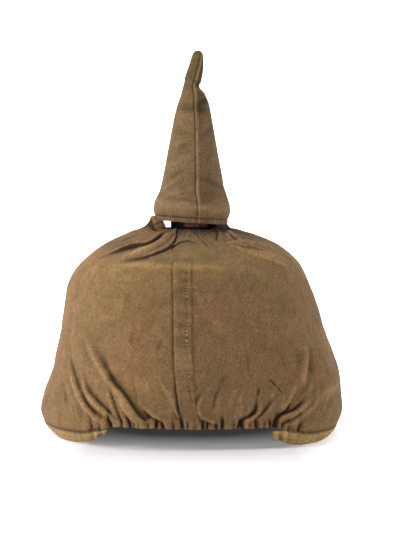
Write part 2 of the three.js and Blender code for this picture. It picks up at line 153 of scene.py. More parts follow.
def product(tree, first, *others):
    for other in others:
        first = calculated(tree, "MULTIPLY", first, other)
    return first


def between(tree, value, starts, full, still_full, ends):
    return product(tree, ranged(tree, value, starts, full), ranged(tree, value, ends, still_full))


spike = turned_piece("spike_and_plate", SPIKE_PROFILE)
paint, tree, shader = new_finish("black paint, rusted")
spot = add_node(tree, "ShaderNodeTexCoord").outputs["Object"]
across, _, height = add_node(tree, "ShaderNodeSeparateXYZ", {0: spot}).outputs
worn = add_node(tree, "ShaderNodeTexNoise", {"Vector": spot, "Scale": 260.0, "Detail": 5.0}).outputs[0]
open_neck = product(tree, between(tree, height, *RUST_HEIGHTS), between(tree, across, *RUST_ACROSS))
rusted = product(tree, open_neck, ranged(tree, worn, 0.30, 0.50))
bump = add_node(tree, "ShaderNodeBump", {"Height": worn, "Strength": 0.3, "Distance": 0.0003})
feed(tree, shader, {
    "Base Color": mixed(tree, rusted, (0.005, 0.0045, 0.004, 1), (0.137, 0.058, 0.031, 1)),
    "Roughness": ranged(tree, rusted, 0.0, 1.0, 0.65, 0.85),
    "Specular IOR Level": 0.12,
    "Normal": bump.outputs[0],
})
spike.data.materials.append(paint)
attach(spike, "root")
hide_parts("spike")

# Body cover: two halves of khaki cotton, joined by a felled seam down the back, gathered round
# the spike's neck and drawn in at the nape. It hangs over the skull, visor and neck guard.
# Places on it are a bearing, in degrees from the nape to the left, and mm down from the neck.

CLOTH = 1.1  # thickness in mm, as all sizes of the cloth are
COVER_LENGTH = 172.0  # from the neck to the hem
HEM_REACH = 110.0  # from the spike's axis, on average
SEAM_STRIP = 11.4  # width of the felled seam
SEAM_LAP = 1.25  # how far it stands up
SEAM_ROW = 2.6  # its sewn row, from its right edge
STITCH_LENGTH = 2.5
NAPE_LIFT = 6.0  # how far the hem rises at the nape
NAPE_PULL = 3.5  # how far it is drawn in there
COVER_SECTIONS = np.array((  # down, height, reach left, right, back, front, squareness left, right
    (0, 138.8, 21.0, 21.5, 21.5, 21.5, 2.0, 2.0),
    (11, 137.8, 32.0, 30.4, 31.6, 32.6, 2.0, 2.0),
    (25, 134.2, 46.6, 45.2, 47.6, 49.6, 2.05, 2.05),
    (41, 127.0, 61.5, 61.0, 67.0, 69.0, 2.1, 2.1),
    (59, 115.5, 76.0, 73.7, 85.0, 87.0, 2.2, 2.2),
    (75, 102.0, 84.1, 81.1, 96.0, 98.0, 2.25, 2.25),
    (92, 86.0, 87.4, 87.2, 103.0, 105.0, 2.25, 2.25),
    (109, 69.0, 90.0, 91.5, 108.0, 110.0, 2.2, 2.25),
    (123, 55.0, 92.6, 97.2, 112.0, 115.0, 2.15, 2.25),
    (137, 42.0, 95.1, 101.7, 116.0, 123.0, 2.1, 2.3),
    (152, 27.0, 100.8, 103.5, 121.0, 138.0, 2.05, 2.4),
    (164, 15.0, 103.8, 103.2, 125.0, 149.0, 2.05, 2.55),
    (172, 7.0, 101.4, 99.8, 125.0, 153.0, 2.05, 2.6),
))
BACK_SEAM = np.array((  # down and bearing of the seam's folded edge
    (0, 11.0), (57, 8.2), (82, 6.8), (108, 6.2), (121, 5.8), (136, 5.2), (148, 4.5), (165, 3.2),
    (172, 1.8),
))
# Folds turned over to one side: height of the roll, its width, depth of the hollow beside it, the
# hollow's width, the roll's side, where along the line it has grown and fades, painted shade in the hollow
# and along the line, and the line.
ROLLS = (
    # nape, left half
    (2.2, 5, 2.2, 9, 1, 0.45, 1, 0.4, ((31, 130), (28, 138), (23.2, 146.5), (19.2, 156), (15.3, 166))),
    (1.4, 4, 1, 3, 1, 0.4, 1, 0.4, ((29, 141), (26, 154), (23.4, 168))),
    (1.7, 3, 1.5, 2.8, 1, 0.45, 1, 0.4, ((45, 129.5), (39.5, 142), (33.6, 151), (28.2, 159), (25, 166))),
    (1.3, 3, 1.2, 3.4, 1, 0.4, 1, 0.35,
     ((57, 119), (51.5, 131), (42.8, 145.5), (36.8, 154.5), (31.4, 164))),
    (2.2, 3.6, 2.4, 3, -1, 0.25, 1, 0.75, ((15.6, 156), (12, 163), (9.2, 167), (7.9, 171))),
    (1.7, 3, 1, 2.6, -1, 0.4, 1, 0.3, ((9.8, 137), (7.4, 146.5), (5.4, 156.5), (3.9, 164))),
    # nape, right half
    (1.4, 3.2, 0.9, 2.4, -1, 0.4, 1, 0.3,
     ((-5, 138), (-3.3, 146.5), (-1.9, 153), (-2, 160.5), (-4, 165.5), (-6.6, 168.5))),
    (1.5, 3.2, 4.2, 2.4, -1, 0.6, 1, 0.9,
     ((-21.9, 140), (-20.6, 152), (-19.9, 158.5), (-18.1, 162.5), (-16.2, 165), (-14.6, 171))),
    (1.9, 2.8, 4.4, 2.4, -1, 0.45, 1, 0.9,
     ((-43.6, 142), (-38.4, 150), (-34.6, 155.5), (-31.2, 159), (-28.4, 161.2),
      (-26.9, 166), (-26.5, 172))),
    (1.6, 3.2, 1.7, 2.6, -1, 0.4, 0.8, 0.4,
     ((-48, 147), (-40, 154.5), (-34.7, 160.5), (-30, 167), (-28.6, 171))),
    (1.3, 2.6, 2.6, 1.6, 1, 0.35, 1, 0.7, ((-37, 139), (-33.3, 149), (-30.6, 155.5), (-29, 159))),
    (1.2, 2.8, 1.8, 2.6, -1, 0.5, 1, 0.5, ((-28, 147), (-23.4, 158), (-20.4, 164))),
    (0.4, 1.6, 1.2, 0.8, 1, 0.1, 0.9, 1.4, ((-25.8, 136), (-27.5, 141), (-29.3, 145.5))),
    # crown, behind the spike
    (1.6, 4, 2.6, 1.6, 1, 0.3, 0.45, 3.4,
     ((32.2, 14), (29.4, 20), (28.2, 28), (29.8, 33.4), (35, 35.4), (41.5, 37.6), (46, 40.6))),
    (1.4, 4, 1.3, 5, 1, 0.1, 0.3, 1.3, ((35, 35.2), (41.5, 38), (46, 41.4), (52, 46.5), (58, 51))),
    (0.6, 4.2, 0.4, 3.6, 1, 0.1, 0.7, 0.2, ((18.5, 17), (17.2, 28.5), (18.5, 33), (23, 41), (28, 46))),
    (1.4, 2.6, 2, 0.6, 1, 0.04, 1, 2.2, ((24.5, 2), (17, 14), (12.8, 25.5), (12, 38))),
    (1.8, 3.4, 1.6, 0.8, 1, 0.02, 0.3, 2.6,
     ((12, 38), (15.8, 42), (19, 44.6), (21.5, 46.4), (26, 48.4), (32, 50.8))),
    (0.8, 3.4, 0.8, 0.7, -1, 0.02, 0.6, 2.4,
     ((12, 38), (9.5, 35.6), (7.2, 33), (3.5, 31), (0, 31.5), (-5.2, 33.5))),
    (0.9, 2.6, 1.8, 0.9, -1, 0.05, 0.7, 1.2, ((-38, 5), (-30, 15), (-21.5, 25), (-18.5, 31))),
    (0.9, 2.2, 1.8, 0.9, 1, 0.3, 0.8, 2.8, ((-6.5, 18), (-9, 27), (-11.8, 35.5), (-13.8, 40.5))),
    (0.4, 2, 1.1, 0.8, 1, 0.3, 0.8, 2, ((-3.5, 17), (-5.5, 25), (-8.5, 35.5), (-10.4, 39))),
    (0.8, 3, 1.2, 3.4, -1, 0.3, 0.7, 0.5, ((-27, 36), (-33, 38.5), (-41.2, 40), (-49.2, 45.5))),
    (0.6, 2.4, 3, 1.3, 1, 0.12, 0.8, 3.4,
     ((46, 9.8), (54, 9), (64, 8.2), (74, 7.6), (86, 7.4), (98, 7.8), (112, 9.5))),
    # sides and front
    (1.6, 6, 1.2, 5, -1, 0.4, 1, 0.3, ((100, 92), (108, 125), (118, 160))),
    (1.4, 5, 1.8, 5, 1, 0.4, 1, 0.3, ((124, 108), (120, 135), (128, 166))),
    (1.6, 6, 1.2, 5, 1, 0.4, 1, 0.3, ((-98, 88), (-110, 125), (-122, 158))),
    (1.4, 5, 1.8, 5, -1, 0.4, 1, 0.3, ((-128, 106), (-124, 135), (-133, 165))),
    (0.8, 5, 0.8, 5, 1, 0.4, 1, 0.2, ((104, 118), (99, 142), (94, 166))),
    (0.8, 5, 0.8, 5, -1, 0.4, 1, 0.2, ((-108, 112), (-101, 140), (-97, 166))),
    (1.4, 4, 1.3, 3, 1, 0.1, 0.5, 0.5, ((164, 14), (150, 44), (128, 70))),
    (1.4, 4, 1.3, 3, -1, 0.1, 0.5, 0.5, ((-170, 14), (-150, 42), (-126, 62))),
    (1.2, 3.6, 1.3, 2.6, 1, 0.1, 0.5, 0.5, ((104, 12), (96, 38), (84, 62))),
    (1.2, 3.6, 1.3, 2.6, -1, 0.1, 0.5, 0.5, ((-112, 12), (-104, 38), (-98, 62))),
    (1, 3.2, 1.2, 2.4, -1, 0.1, 0.5, 0.5, ((138, 10), (128, 30), (112, 48))),
    (1, 3.2, 1.2, 2.4, 1, 0.1, 0.5, 0.5, ((-140, 10), (-130, 30), (-116, 48))),
    (0.5, 6, 0.5, 6, 1, 0.4, 1, 0.1, ((147, 132), (143, 150), (150, 170))),
    (0.5, 6, 0.5, 7, -1, 0.4, 1, 0.1, ((-164, 124), (-157, 150), (-160, 170))),
)
# Soft ridges and, with a minus, soft dips: height, width, where it has grown and fades, and the line.
# Ridges are painted lighter and dips darker, as painted highlights and painted shade.
SWELLS = (
    (1.3, 2.2, 0.3, 0.8, ((45.5, 107), (39.8, 117), (35.8, 124.5), (31.5, 133), (27.8, 141))),
    (-1.3, 3.4, 0.5, 0.9, ((37.4, 114), (33.2, 123), (30, 131), (27.4, 139))),
    (1.6, 2.4, 0.3, 1, ((23.8, 151), (20.5, 159), (17.6, 166), (16.2, 172))),
    (2.4, 3, 0.3, 0.8, ((-47.2, 112), (-44.2, 122.5), (-41, 132), (-38.3, 140))),
    (-0.8, 4.5, 0.3, 0.8, ((-51.2, 112), (-48.2, 123), (-45, 134))),
    (1.2, 1.9, 0.3, 1, ((-48.4, 143), (-41.8, 150.5), (-36.2, 156.2), (-31.2, 162))),
    (0.9, 2.2, 0.3, 1, ((-51, 145), (-43, 152.5), (-36.8, 158.5))),
    (1.1, 3.4, 0.3, 0.8, ((-73, 142), (-56, 146), (-46, 154))),
    (2.1, 1.7, 0.25, 0.85,
     ((-22, 34), (-29, 33.6), (-37.8, 33.5), (-46.2, 35.5), (-52.5, 38.5), (-60, 42))),
    (2.1, 1.5, 0.3, 0.9, ((-46, 13), (-42.5, 18.5), (-38, 26), (-36.6, 33))),
    (1.2, 1.2, 0.3, 0.9, ((-38, 16), (-33.5, 23), (-31, 31))),
    (2, 1.3, 0.25, 0.85, ((-24, 36), (-27.2, 39.5), (-31.2, 45), (-37.5, 49.5), (-43.8, 54), (-53.5, 59))),
    (0.9, 1.2, 0.3, 1, ((23.8, 152.5), (20.5, 159), (17.5, 166), (16.2, 171.5))),
    (0.9, 1.2, 0.3, 1, ((46.5, 128), (41, 141), (35.8, 151), (30.2, 159.5), (27, 164), (24.8, 171.5))),
    (0.8, 1.3, 0.3, 1, ((58.5, 120), (52.5, 134), (43.8, 145.5), (37.5, 155.5), (31.5, 164))),
    (0.9, 1.1, 0.3, 1, ((16.2, 154), (12.5, 162), (9.5, 166), (8.2, 170.5))),
    (0.9, 1.1, 0.3, 1, ((10.2, 137), (7.8, 146.5), (5.8, 156.5), (3.8, 162.5))),
    (0.9, 1.1, 0.3, 1, ((-21.8, 152), (-20.8, 159.5), (-19.2, 164), (-17.5, 165.5))),
    (0.9, 1.2, 0.3, 1, ((-45.5, 136.5), (-43.2, 141.5), (-38.8, 147.5), (-34.2, 154), (-30.2, 159))),
    (0.9, 1.1, 0.3, 1, ((-36.8, 140), (-33, 148), (-29.2, 157))),
    (0.9, 1.2, 0.3, 1, ((-3.5, 148), (-2, 155), (-2.5, 162.5), (-4.2, 165), (-6.5, 167.5))),
    (-0.6, 8, 0.3, 0.6, ((-60, 15), (-67, 26), (-72, 40))),
    (-0.6, 4, 0.3, 0.8, ((-44, 24), (-49, 27.5), (-58, 32.5))),
    (-1, 1.6, 0.3, 0.8, ((-39, 20), (-35.5, 27), (-34, 31))),
    (1.2, 2.6, 0.1, 0.6, ((23, 16), (22.6, 30), (27, 38), (32.5, 45), (39, 50.5))),
    (-0.7, 3.4, 0.05, 0.3, ((22, 48), (30, 51.5), (39, 56))),
    (1.5, 3.2, 0.3, 0.7, ((46, 60), (24, 57), (9.5, 59), (-3.8, 58.5), (-22, 61))),
    (0.9, 7, 0.3, 0.7, ((54, 67), (34, 64), (14, 65))),
    (0.8, 6, 0.3, 0.7, ((-26, 39), (-40, 46), (-56, 53))),
    (0.7, 0.9, 0.3, 0.7, ((11, 130), (9.5, 138.5), (7.5, 147))),
    (0.6, 0.9, 0.4, 0.6, ((13.8, 124.5), (11, 132.5))),
    (0.6, 0.9, 0.4, 0.6, ((15.8, 133.5), (13, 144.5))),
    (0.6, 0.9, 0.4, 0.6, ((-1.2, 116), (-4, 109))),
    (0.7, 1, 0.4, 0.6, ((-3.8, 126.5), (-6.8, 118.5))),
    (0.7, 1, 0.4, 0.6, ((-2.8, 136), (-5, 127))),
    (0.5, 0.9, 0.4, 0.6, ((-6.5, 130), (-10, 121.5))),
    (0.7, 1, 0.4, 0.6, ((-4, 145.5), (-7.2, 139.5))),
    (0.6, 1, 0.4, 0.6, ((-11.2, 148), (-13, 139))),
    (0.6, 0.9, 0.4, 0.6, ((23.2, 109.5), (20.2, 115.5))),
    (0.6, 0.9, 0.4, 0.6, ((17, 104.5), (14.2, 108))),
    (-0.7, 2.2, 0.4, 0.6, ((12.2, 115.5), (9.8, 106))),
    (-0.6, 1, 0.4, 0.6, ((-19.5, 116.5), (-19.2, 123), (-18.8, 132))),
    (-0.8, 1, 0.4, 0.8, ((-22, 141), (-21, 148.5))),
    (1.2, 2.2, 0.3, 1, ((33, 160), (30.5, 166), (30, 171.5))),
    (1.3, 7, 0.3, 0.8, ((142, 74), (150, 106), (158, 136))),
    (0.8, 8, 0.3, 0.7, ((62, 70), (70, 100), (66, 130))),
    (0.9, 7, 0.3, 0.7, ((-66, 72), (-72, 96), (-66, 116))),
)
NAPE_HOLLOWS = (  # bearing at the hem and depth of each hollow, and how far it rises and leans
    (41, 0.2, 6, 0), (34.5, 0.4, 7, 2), (31.2, 0.8, 6, 1), (27.6, 6.2, 14, 0), (24.9, 0.7, 5, 0),
    (23.2, 0.9, 5, 1), (20, 3.2, 10, -2), (18.4, 0.8, 5, 0), (16.6, 2, 7, 0), (13.6, 0.5, 4, 0),
    (11.2, 3.4, 9, 1), (9.1, 2.4, 7, 0), (5.6, 0.6, 4, 0), (2.9, 2.6, 14, 0), (1.2, 0.9, 8, 0),
    (-1, 0.4, 4, 0), (-3.3, 2.2, 8, 0), (-4.6, 1.6, 6, 0), (-7.5, 1.9, 6, -1), (-9.2, 2.8, 13, 0),
    (-12.8, 0.4, 4, 0), (-15.6, 5, 9, -2), (-17.8, 0.8, 5, -1), (-20, 3.4, 9, -2), (-22.6, 0.7, 4, 0),
    (-24.8, 3, 8, -2), (-26.9, 4.8, 13, 0), (-28.6, 1.2, 5, 0), (-30.6, 0.7, 5, -1), (-34.5, 0.25, 6, -2),
    (-40, 0.2, 6, 0),
)
NECK_HOLLOWS = (  # bearings
    -172, -163, -155, -146, -138, -129, -121, -112, -104, -95, -87, -79, -71, -64, -56, -49, -42,
    -35.5, -30, -27.4, -24, -22.6, -19, -17.4, -13.6, -12, -8.6, -7.2, -4.4, -2.2, 0.9, 2.4, 5.4, 6.9, 10.6,
    12.2, 15.2, 17, 20, 26, 33, 39, 46, 54, 62, 70, 78, 86, 95, 103, 111, 120, 128, 137, 145, 154, 162, 171,
)
WEAR_AND_LIGHT_PATCHES = (  # bearing, down, spread, length, and how much darker it is, or with a minus lighter: dirt and rubbed dye, and painted shade on the folded crown and painted light on the right side
    (68, 36, 32, 15, 0.6),
    (48, 96, 8, 16, 0.24),
    (48, 40, 9, 5, 0.6),
    (39, 118, 7, 12, 0.3),
    (57, 152, 7, 9, 0.3),
    (11, 74, 5, 12, -0.55),
    (15, 147, 5, 8, -0.35),
    (18, 138, 5, 9, -0.35),
    (8, 140, 9, 14, -0.3),
    (-8, 158, 7, 7, -0.4),
    (-14, 9, 12, 8, 0.25),
    (-15, 57, 10, 8, -0.35),
    (-42, 45, 20, 13, -0.6),
    (-68, 116, 9, 17, -1.0),
    (-74, 62, 10, 12, -0.7),
    (-46, 153, 5, 7, 0.6),
    (-30, 170, 6, 4, 0.35),
)
LIP_BUNCHES = (  # bearing, down, spread, length and rise, and painted shade in it
    (84, 1.5, 26, 7.0, 7.4, 0.4), (88, 6.2, 20, 2.9, 3.4, 0.2), (84, 15, 24, 7.0, 1.0, 0.0),
    (-105, 0.5, 55, 4.2, 5.5, 1.2),
)
EVENED = (3, 8, 60)  # rounds of evening out, to tell fine, middling and broad folds


# A soft step from 0 at low to 1 at high, where low may be the larger of the two.
def ease(value, low, high):
    t = np.clip((value - low) / (high - low), 0, 1)
    return t * t * (3 - 2 * t)


# A bump of height 1 that fades over its width, with a flatter top where the power is higher.
def bell(away, width, power=2):
    return np.exp(-((np.abs(away) / width) ** power))


# A smooth curve through one column of a table, whose first column holds the places.
def through(table, place, column):
    keys = table[:, 0]
    i = np.clip(np.searchsorted(keys, place, side="right") - 1, 0, len(keys) - 2)
    before, after = np.maximum(i - 1, 0), np.minimum(i + 2, len(keys) - 1)
    value = table[:, column]
    span = keys[i + 1] - keys[i]
    t = (place - keys[i]) / span
    slope_in = (value[i + 1] - value[before]) / (keys[i + 1] - keys[before]) * span
    slope_out = (value[after] - value[i]) / (keys[after] - keys[i]) * span
    t2, t3 = t * t, t * t * t
    return (
        (2 * t3 - 3 * t2 + 1) * value[i] + (t3 - 2 * t2 + t) * slope_in
        + (3 * t2 - 2 * t3) * value[i + 1] + (t3 - t2) * slope_out
    )


def nape_share(bearing):
    return ease(np.abs(bearing), 42, 22)


def cover_base(bearing, down):
    z, left, right, back, front, square_left, square_right = (
        through(COVER_SECTIONS, down, k) for k in range(1, 8)
    )
    s, c = np.sin(np.radians(bearing)), np.cos(np.radians(bearing))
    square = np.where(s >= 0, square_left, square_right)
    across = np.abs(s) / np.where(s >= 0, left, right)
    along = np.abs(c) / np.where(c >= 0, back, front)
    reach = (across**square + along**square) ** (-1 / square)
    z = z + NAPE_LIFT * nape_share(bearing) * ease(down, 118, COVER_LENGTH)
    return np.stack((reach * s, reach * c, z), -1)


def cover_normal(bearing, down):
    around = cover_base(bearing + 0.4, down) - cover_base(bearing - 0.4, down)
    low, high = np.maximum(down - 0.5, 0), np.minimum(down + 0.5, COVER_LENGTH)
    along = cover_base(bearing, high) - cover_base(bearing, low)
    normal = np.cross(around, along)
    return normal / np.linalg.norm(normal, axis=-1, keepdims=True)


# How far places lie beside a fold's line and past its ends, in mm, and how far along it they are.
def beside_line(line, bearing, down, reach):
    steps = 16 * (len(line) - 1)
    rows = np.column_stack((np.arange(len(line)), np.array(line, float)))
    t = np.linspace(0, len(line) - 1, steps + 1)
    line_bearing, line_down = through(rows, t, 1), through(rows, t, 2)
    across = np.radians(bearing[:, None] - line_bearing) * reach[:, None]
    along = down[:, None] - line_down
    near = np.argmin(across**2 + along**2, axis=1)
    each = np.arange(len(near))
    run_across = np.radians(np.gradient(line_bearing))[near] * reach
    run_along = np.gradient(line_down)[near]
    run = np.hypot(run_across, run_along)
    dx, dy = across[each, near], along[each, near]
    apart = (run_along * dx - run_across * dy) / run
    ahead = (run_across * dx + run_along * dy) / run
    past = np.where(near == 0, np.minimum(ahead, 0), np.where(near == steps, np.maximum(ahead, 0), 0))
    return apart, past, near / steps


def close_to(line, bearing, down, room):
    places = np.array(line, float)
    low, high = places.min(0), places.max(0)
    return (
        (bearing > low[0] - 1.6 * room) & (bearing < high[0] + 1.6 * room)
        & (down > low[1] - 1.5 * room) & (down < high[1] + 1.5 * room)
    )


# Fine creases strewn over the nape, the sides and the crown.
def small_creases():
    chance = np.random.default_rng(11)
    creases = []
    for _ in range(70):
        bearing, foot, length = chance.uniform(-50, 50), chance.uniform(150, 171), chance.uniform(9, 26)
        lean = length * (0.012 * bearing + chance.uniform(-0.12, 0.12))
        middle = (bearing + 0.35 * lean, foot - 0.45 * length)
        line = ((bearing + lean, foot - length), middle, (bearing, foot))
        creases.append((chance.uniform(-0.5, 0.75), chance.uniform(0.9, 1.9), 0.5, 0.9, line))
    for _ in range(110):
        bearing, place, length = chance.uniform(-180, 180), chance.uniform(50, 150), chance.uniform(14, 46)
        turn = chance.uniform(0, 2 * np.pi)
        across, along = 0.3 * length * np.cos(turn), 0.5 * length * np.sin(turn)
        bow = chance.uniform(-3, 3)
        ends = ((bearing - across, place - along), (bearing + across, place + along))
        line = (ends[0], (bearing + bow, place), ends[1])
        creases.append((chance.uniform(-0.32, 0.36), chance.uniform(1.1, 2.6), 0.5, 0.5, line))
    for _ in range(60):
        bearing, top, length = chance.uniform(-180, 180), chance.uniform(4, 22), chance.uniform(8, 26)
        lean = chance.uniform(-5, 5)
        line = ((bearing, top), (bearing + 0.6 * lean, top + 0.5 * length), (bearing + lean, top + length))
        creases.append((chance.uniform(-0.8, 0.7), chance.uniform(0.8, 1.7), 0.3, 0.6, line))
    return tuple(creases)


SMALL_CREASES = small_creases()


def add_folds(height, dirt_and_shading, bearing, down, reach):
    for roll, roll_width, depth, hollow_width, side, grown, fades, shade, line in ROLLS:
        k = np.flatnonzero(close_to(line, bearing, down, 2.2 * max(roll_width, hollow_width)))
        apart, past, t = beside_line(line, bearing[k], down[k], reach[k])
        apart = apart * side
        strength = ease(t, -0.03, grown) * (1 - 0.92 * ease(t, fades, 1.06)) * bell(past, 2.2)
        softer = ease(np.abs(bearing[k]), 60, 95)
        over = 0.5 + 0.5 * np.tanh(apart / (min(0.65, 0.35 * hollow_width) + 1.9 * softer))
        hollow = (1 - over) * bell(apart, hollow_width, 1.3)
        height[k] += strength * (over * roll * bell(apart, roll_width) - depth * hollow)
        spread = 0.55 * (1 - ease(down[k], 75, 45) * ease(hollow_width, 3.5, 1.2))
        # Painted shade in the fold's hollow and along its line.
        dirt_and_shading[k] += strength * shade * (spread * hollow + 0.6 * bell(apart, 0.8 + 1.6 * softer))
    for rise, width, grown, fades, line in SWELLS + SMALL_CREASES:
        k = np.flatnonzero(close_to(line, bearing, down, 2.2 * width))
        apart, past, t = beside_line(line, bearing[k], down[k], reach[k])
        strength = ease(t, -0.03, grown) * (1 - 0.95 * ease(t, fades, 1.06))
        swell = strength * rise * bell(np.hypot(apart, past), width)
        height[k] += swell
        # A painted highlight on a ridge, painted shade in a dip.
        dirt_and_shading[k] -= (1.0 - 0.68 * ease(down[k], 42, 60) + 0.5 * ease(down[k], 134, 148)) * swell


# Round lobes of cloth between hollows, and the width of each lobe.
def lobes(bearing, hollows):
    i = np.clip(np.searchsorted(hollows, bearing, side="right") - 1, 0, len(hollows) - 2)
    width = hollows[i + 1] - hollows[i]
    part = np.clip((bearing - hollows[i]) / width, 0, 1)
    return np.sin(np.pi * part) ** 0.7, width


# The slow unevenness of cloth that hangs loose.
def waves(bearing, down):
    a, d = np.radians(bearing), down / 100
    return (
        0.42 * np.sin(3.1 * a + 4.3 * d + 0.4) * np.sin(5.2 * d - 1.7 * a)
        + 0.30 * np.sin(7.3 * a - 6.1 * d + 1.9) * np.cos(4.4 * d + 2.6 * a)
        + 0.16 * np.sin(15.7 * a + 10.2 * d) * np.sin(13.1 * d - 8.3 * a + 0.7)
        + 0.07 * np.sin(31.0 * a - 24.0 * d + 2.1) * np.sin(29.0 * d + 17.0 * a)
    )


def gather_nape(height, dirt_and_shading, bearing, down, reach):
    up = COVER_LENGTH - down
    nape = np.array(sorted(NAPE_HOLLOWS))
    first, last = nape[0, 0], nape[-1, 0]
    lobe, width = lobes(bearing, nape[:, 0])
    width = np.radians(width) * reach
    inside = ease(bearing, first, first + 5) * ease(bearing, last, last - 5)
    height += inside * (lobe - 0.55) * 0.26 * width * ease(up, 6 + 0.8 * width, 0.5)
    for hollow, depth, rise, lean in NAPE_HOLLOWS:
        apart = np.radians(bearing - hollow) * reach + lean * up / rise
        pocket = bell(apart, 0.5 + 0.2 * depth, 1.5) * ease(up, 1.1 * rise, 0.3 * rise)
        height -= depth * pocket
        # Painted shade in the pockets, the deeper ones darker.
        dirt_and_shading += 0.17 * depth * pocket


def gather_neck(height, dirt_and_shading, bearing, down):
    ring = np.array(NECK_HOLLOWS + (NECK_HOLLOWS[0] + 360,), float)
    lobe, width = lobes(np.where(bearing < ring[0], bearing + 360, bearing), ring)
    fine = ease(width, 7, 3)
    gather = 0.13 * width * ease(down, 30, 10) * (1 - fine)
    uneven = 0.75 + 0.5 * np.sin(bearing * 1.7 + 2 * np.sin(bearing * 0.61))
    gather += fine * 1.05 * uneven * ease(down, 1, 8) * ease(down, 32, 18)
    height += (lobe - 0.4) * gather
    # Mottled painted shade round the neck under the spike cover, and painted shade in the gather's hollows.
    mottled = np.sin(bearing * 1.3 + 2 * np.sin(down * 0.35)) * np.sin(down * 0.5 + bearing * 0.4)
    painted_neck_shade = (1.2 + 0.9 * mottled) * ease(down, 27, 10)
    painted_neck_shade *= (0.4 + 0.6 * ease(bearing, 6, -8)) * ease(bearing, -100, -60) * ease(bearing, 34, 20)
    painted_neck_shade += 1.3 * bell(bearing + 36, 15) * ease(down, 18, 7)
    dirt_and_shading += 0.9 * (1 - lobe) * gather + painted_neck_shade


def cover_height(bearing, down):
    base = cover_base(bearing, down)
    reach = np.hypot(base[:, 0], base[:, 1])
    height = waves(bearing, down) * ease(down, 20, 60)
    dirt_and_shading = np.zeros_like(height)
    add_folds(height, dirt_and_shading, bearing, down, reach)
    gather_nape(height, dirt_and_shading, bearing, down, reach)
    gather_neck(height, dirt_and_shading, bearing, down)
    for at, below, spread, length, rise, shade in LIP_BUNCHES:
        bunch = bell(bearing - at, spread, 6) * bell(down - below, length)
        height += rise * bunch
        dirt_and_shading += shade * bunch
    for at, below, spread, length, shade in WEAR_AND_LIGHT_PATCHES:
        dirt_and_shading += shade * bell(bearing - at, spread) * bell(down - below, length)
    height -= NAPE_PULL * nape_share(bearing) * ease(down, 148, COVER_LENGTH)
    # The nape's hem edge is lighter: wear, and a painted highlight on the turned edge.
    dirt_and_shading -= 0.5 * nape_share(bearing) * ease(COVER_LENGTH - down, 2.4, 0.7)
    return height, dirt_and_shading


def cover_points(bearing, down, raised=0.0):
    height, dirt_and_shading = cover_height(bearing, down)
    return cover_base(bearing, down), cover_normal(bearing, down), height + raised, dirt_and_shading


def placed(points):
    return points * MM + np.array((AXIS_X, AXIS_Y, 0))


# How far each place stands out from the cloth round it, which is where cloth wears or soils, and where
# hollows get painted shade and standing parts painted highlights.
def standing_out(height, across, along):
    grid = height.reshape(along + 1, across + 1)
    level = grid.copy()
    relief = np.zeros_like(grid)
    for step in range(1, EVENED[-1] + 1):
        padded = np.pad(level, 1, mode="edge")
        beside = padded[:-2, 1:-1] + padded[2:, 1:-1] + padded[1:-1, :-2] + padded[1:-1, 2:]
        level = (beside + level) / 5
        if step in EVENED:
            relief += 0.6 * (grid - level)
    return relief.ravel()


# A wall of cloth: a flat grid laid to its outer and inner face, with its threads as UV map.
def cloth_piece(name, across, along, shape):
    bpy.ops.object.select_all(action="DESELECT")
    bpy.ops.mesh.primitive_grid_add(x_subdivisions=across, y_subdivisions=along, size=1)
    piece = start_piece(name)
    mesh = piece.data
    flat = np.empty(3 * len(mesh.vertices))
    mesh.vertices.foreach_get("co", flat)
    outer, inner, threads, height, dirt_and_shading, sewing = shape(flat[0::3] + 0.5, flat[1::3] + 0.5)
    bpy.ops.object.modifier_add(type="SOLIDIFY")
    piece.modifiers[-1].thickness = 0.01
    piece.modifiers[-1].offset = -1
    bpy.ops.object.modifier_apply(modifier=piece.modifiers[-1].name)
    mesh.vertices.foreach_set("co", placed(np.concatenate((outer, inner))).ravel())
    corner = np.empty(len(mesh.loops), int)
    mesh.loops.foreach_get("vertex_index", corner)
    threads = np.concatenate((threads, threads))[corner] / 10
    mesh.uv_layers.active.data.foreach_set("uv", threads.ravel())
    # Dirt and painted shade are taken off how far each place stands out, and wear and painted highlights
    # added to it.
    relief = standing_out(height, across, along) - dirt_and_shading
    for attribute, kind, field, values in (
        ("relief", "FLOAT", "value", relief), ("sewing", "FLOAT_VECTOR", "vector", sewing)
    ):
        both_sides = np.concatenate((values, values)).ravel()
        mesh.attributes.new(attribute, kind, "POINT").data.foreach_set(field, both_sides)
    mesh.update()
    faces = len(mesh.polygons)
    middles, normals, areas = np.empty(3 * faces), np.empty(3 * faces), np.empty(faces)
    mesh.polygons.foreach_get("center", middles)
    mesh.polygons.foreach_get("normal", normals)
    mesh.polygons.foreach_get("area", areas)
    if (middles * normals * np.repeat(areas, 3)).sum() < 0:
        mesh.flip_normals()
    bpy.ops.object.shade_smooth_by_angle(angle=math.radians(55))
    return piece


